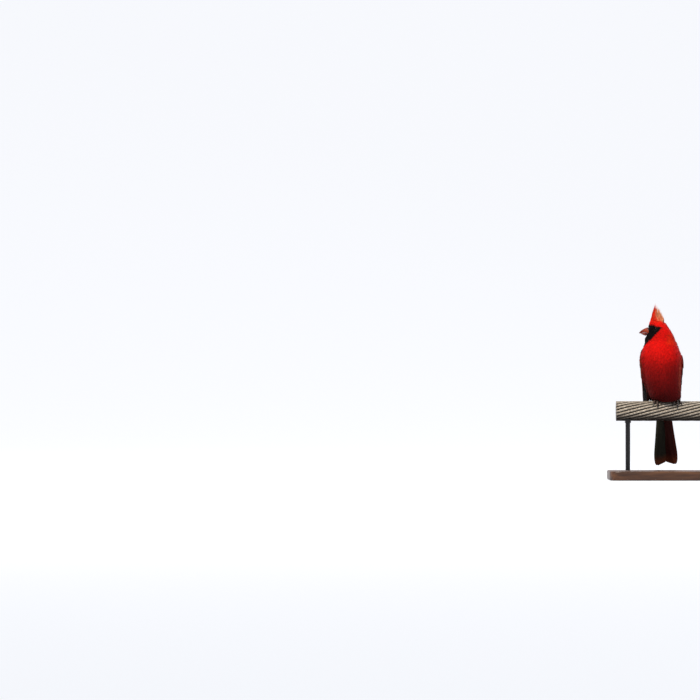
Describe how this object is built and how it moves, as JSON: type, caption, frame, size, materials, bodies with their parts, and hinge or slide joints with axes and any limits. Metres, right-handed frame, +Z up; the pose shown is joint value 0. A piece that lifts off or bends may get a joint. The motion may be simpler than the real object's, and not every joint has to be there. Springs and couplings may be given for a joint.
{
  "type": "perched bird model",
  "caption": "Life-size still model of a red crested songbird with a black mask, perched on a short cut length of steel strand over a flat stand.",
  "frame": {"origin": "centre of the stand base's underside", "axes": "+X along the wire strand, which is the picture's right; +Y away from the camera, towards the bird's back; +Z up"},
  "size_m": [0.15, 0.104, 0.2222],
  "materials": {
    "base_wood": "satin",
    "rod_steel": "satin",
    "strand_wire": "weathered",
    "eye_glass": "polished",
    "bill_horn": "semi-gloss",
    "claw_horn": "semi-gloss",
    "leg_scales": "matte",
    "flight_feathers": "matte",
    "body_feathers": "soft"
  },
  "bodies": {
    "root": {"bill_lower": "bill_horn", "bill_upper": "bill_horn", "claw_left_hind": "claw_horn", "claw_left_inner": "claw_horn", "claw_left_middle": "claw_horn", "claw_left_outer": "claw_horn", "claw_right_hind": "claw_horn", "claw_right_inner": "claw_horn", "claw_right_middle": "claw_horn", "claw_right_outer": "claw_horn", "crest": "body_feathers", "eye_left": "eye_glass", "eye_right": "eye_glass", "foot_left": "leg_scales", "foot_right": "leg_scales", "head": "body_feathers", "leg_left": "leg_scales", "leg_right": "leg_scales", "neck": "body_feathers", "perch_strand": "strand_wire", "stand_base": "base_wood", "stand_rod_left": "rod_steel", "stand_rod_right": "rod_steel", "tail": "flight_feathers", "torso": "body_feathers", "wing_left": "flight_feathers", "wing_right": "flight_feathers"}
  },
  "joints": []
}
